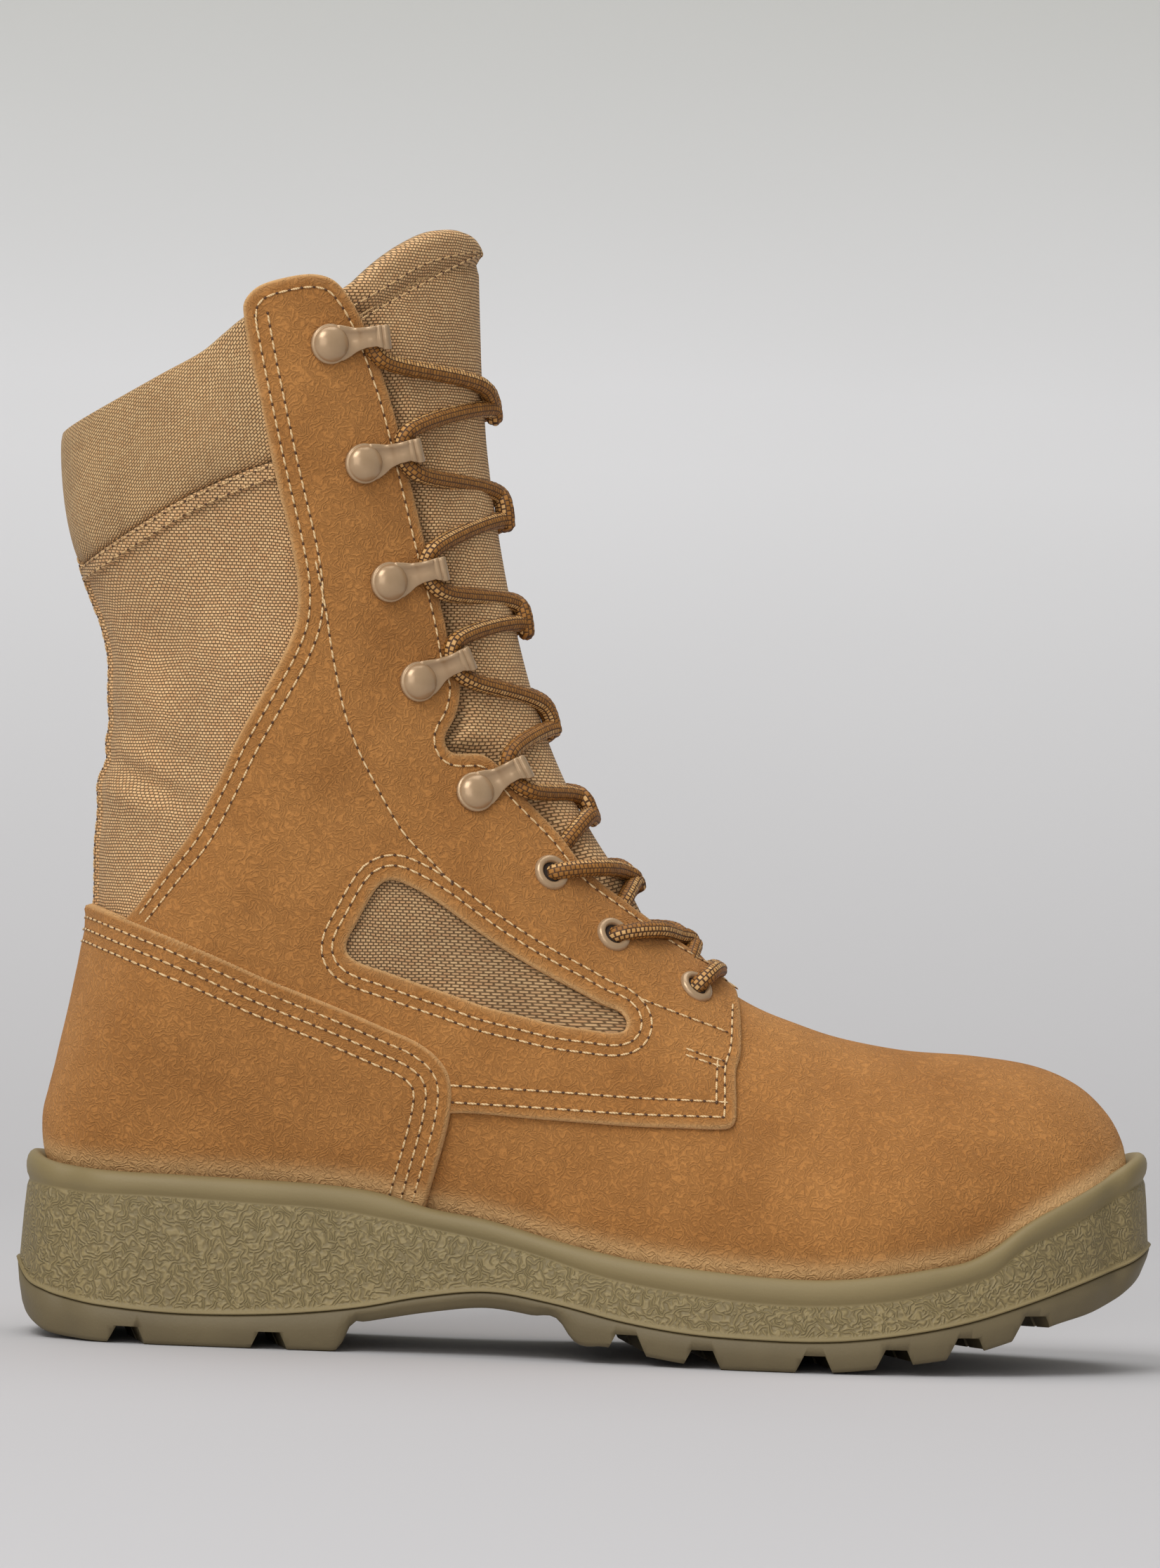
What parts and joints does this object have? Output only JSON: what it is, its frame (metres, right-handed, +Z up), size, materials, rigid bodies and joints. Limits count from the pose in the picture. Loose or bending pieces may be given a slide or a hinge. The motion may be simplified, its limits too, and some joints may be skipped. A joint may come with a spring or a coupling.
{
  "type": "combat boot",
  "caption": "Lace-up combat boot for the right foot: suede overlays on a woven nylon shaft, padded tongue and collar, speed hooks, moulded midsole cup and lugged sole.",
  "frame": {"origin": "on the floor, under the middle of the heel, on the heel's flat bearing face", "axes": "+X points to the toe, +Y to the wearer's left, which is the boot's inner side, +Z up the shaft"},
  "size_m": [0.305, 0.1127, 0.2998],
  "materials": {
    "outsole": "matt moulded",
    "midsole": "matt moulded with a fine worm-like texture",
    "lining": "knitted",
    "nylon": "plain coarse weave",
    "suede": "rough-out suede nap",
    "hardware": "satin paint",
    "lace": "braided round cord"
  },
  "bodies": {
    "root": {"outsole": "outsole", "midsole": "midsole", "insole": "lining", "upper": "nylon", "heel_counter": "suede", "quarter_outer": "suede", "quarter_inner": "suede", "tongue": "nylon", "eyelet_outer_1": "hardware", "eyelet_outer_2": "hardware", "eyelet_outer_3": "hardware", "eyelet_inner_1": "hardware", "eyelet_inner_2": "hardware", "eyelet_inner_3": "hardware", "hook_outer_1": "hardware", "hook_outer_2": "hardware", "hook_outer_3": "hardware", "hook_outer_4": "hardware", "hook_outer_5": "hardware", "hook_inner_1": "hardware", "hook_inner_2": "hardware", "hook_inner_3": "hardware", "hook_inner_4": "hardware", "hook_inner_5": "hardware", "lace_bar": "lace", "lace_crossing_1": "lace", "lace_crossing_2": "lace", "lace_crossing_3": "lace", "lace_crossing_4": "lace", "lace_crossing_5": "lace", "lace_crossing_6": "lace", "lace_crossing_7": "lace"}
  },
  "joints": []
}
